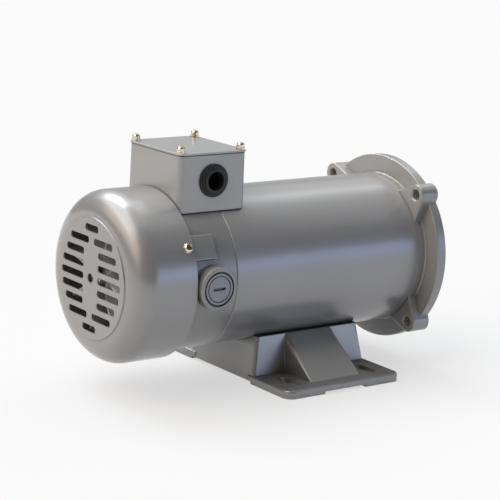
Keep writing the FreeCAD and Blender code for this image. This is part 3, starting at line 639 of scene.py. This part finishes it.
makeLidScrews(lidScrew)
makeCoverScrews(coverScrew)
for side in ("left", "right"):
    makeSpring(side, brushSpring)
makeEarThreads(earThread)
print("shaped pieces made")


# floor: matt grey under the light, white to the camera and in shiny faces

floorLook = {"color": (0.27, 0.27, 0.27, 1.0), "white": 0.62, "roughness": 0.9, "size": 60.0, "drop": 0.0003}


def makeFloor(look):
    bpy.ops.mesh.primitive_plane_add(size=look["size"], location=(0, 0, -look["drop"]))
    floor = bpy.context.object
    floor.name = "floor"
    material, tree, shader = startMaterial("floor_paper")
    shader.inputs["Base Color"].default_value = look["color"]
    shader.inputs["Roughness"].default_value = look["roughness"]
    shader.inputs["Specular IOR Level"].default_value = 0.0
    rays = addNode(tree, "ShaderNodeLightPath").outputs
    seen = combine(tree, "MAXIMUM", rays["Is Camera Ray"], rays["Is Glossy Ray"])
    seen = combine(tree, "MAXIMUM", seen, rays["Is Transmission Ray"])
    shader.inputs["Emission Color"].default_value = (1.0, 1.0, 1.0, 1.0)
    tree.links.new(combine(tree, "MULTIPLY", seen, look["white"]), shader.inputs["Emission Strength"])
    material.cycles.emission_sampling = "NONE"
    floor.data.materials.append(material)


makeFloor(floorLook)
print("floor laid")


# studio: soft panels at (azimuth, elevation), with half angles and soft edges across and upward, in degrees

ambient = (0.03, 0.03, 0.03)
panels = {
    "strip": {"at": (180, 54), "half": (8, 14), "edge": (6, 8), "color": (3.9, 4.2, 4.5)},
    "frontRight": {"at": (40, 7), "half": (22, 4), "edge": (10, 5), "color": (1.05, 1.34, 2.1)},
    "backRight": {"at": (143, 6), "half": (20, 7), "edge": (10, 6), "color": (0.34, 0.36, 0.38)},
    "midRight": {"at": (90, 34), "half": (20, 8), "edge": (10, 8), "color": (0.78, 0.82, 0.8)},
    "midBack": {"at": (134, 34), "half": (20, 8), "edge": (10, 8), "color": (0.6, 0.6, 0.58)},
    "midLeft": {"at": (-100, 34), "half": (30, 12), "edge": (12, 10), "color": (1.75, 1.42, 1.18)},
    "highRight": {"at": (150, 58), "half": (18, 8), "edge": (10, 8), "color": (1.9, 1.92, 1.95)},
    "highLeft": {"at": (-125, 58), "half": (28, 13), "edge": (12, 10), "color": (2.3, 2.32, 2.35)},
    "top": {"at": (0, 88), "half": (30, 10), "edge": (12, 8), "color": (0.73, 0.73, 0.71)},
}


def outward(azimuth, elevation):
    # azimuth 0 looks out to -Y and 90 to +X
    a, e = math.radians(azimuth), math.radians(elevation)
    return Vector((math.sin(a) * math.cos(e), -math.cos(a) * math.cos(e), math.sin(e)))


def sideways(azimuth):
    return Vector((math.cos(math.radians(azimuth)), math.sin(math.radians(azimuth)), 0))


def panelShare(tree, way, look):
    # 1 inside the panel, 0 past its soft edge
    front, side = outward(*look["at"]), sideways(look["at"][0])
    axes = (front, side, front.cross(side))
    ahead, right, up = [combineVectors(tree, "DOT_PRODUCT", way, tuple(axis))["Value"] for axis in axes]
    angles = (combine(tree, "ARCTAN2", right, ahead), combine(tree, "ARCSINE", up))
    shares = []
    for angle, half, edge in zip(angles, look["half"], look["edge"]):
        sockets = {
            "Value": combine(tree, "ABSOLUTE", angle), "To Min": 1.0, "To Max": 0.0,
            "From Min": math.radians(half), "From Max": math.radians(half + edge),
        }
        fade = addNode(tree, "ShaderNodeMapRange", sockets, interpolation_type="SMOOTHSTEP")
        shares.append(fade.outputs["Result"])
    return combine(tree, "MULTIPLY", *shares)


def makeWorld(ambient, panels):
    world = bpy.data.worlds.new("studio")
    world.use_nodes = True
    tree = world.node_tree
    way = addNode(tree, "ShaderNodeTexCoord").outputs["Generated"]
    light = ambient
    for name, look in panels.items():
        sockets = {0: look["color"], "Scale": panelShare(tree, way, look)}
        panel = addNode(tree, "ShaderNodeVectorMath", sockets, operation="SCALE", name=name)
        light = combineVectors(tree, "ADD", light, panel.outputs["Vector"])["Vector"]
    tree.links.new(light, tree.nodes["Background"].inputs["Color"])
    bpy.context.scene.world = world


makeWorld(ambient, panels)
bpy.context.scene.view_settings.view_transform = "Standard"
print("studio lit:", len(panels), "panels")


# camera, as the picture was taken

cameraLook = {
    "azimuth": -36.66, "elevation": 12.17, "roll": 2.81,
    "distance": 1.40529, "target": (-0.05182, 0.0, 0.10988),
    "lens": 128.294, "sensor": 36.0, "shift": (0.03562, -0.0278), "clip": (0.05, 60.0),
}


def makeCamera(look):
    data = bpy.data.cameras.new("camera")
    data.lens = look["lens"]
    data.sensor_width = look["sensor"]
    data.shift_x, data.shift_y = look["shift"]
    data.clip_start, data.clip_end = look["clip"]
    camera = bpy.data.objects.new("camera", data)
    back = outward(look["azimuth"], look["elevation"])
    right = Matrix.Rotation(math.radians(look["roll"]), 3, back) @ sideways(look["azimuth"])
    up = back.cross(right)
    camera.matrix_world = Matrix((right, up, back)).transposed().to_4x4()
    camera.location = Vector(look["target"]) + back * look["distance"]
    bpy.context.scene.collection.objects.link(camera)
    bpy.context.scene.camera = camera


makeCamera(cameraLook)
print("camera placed")
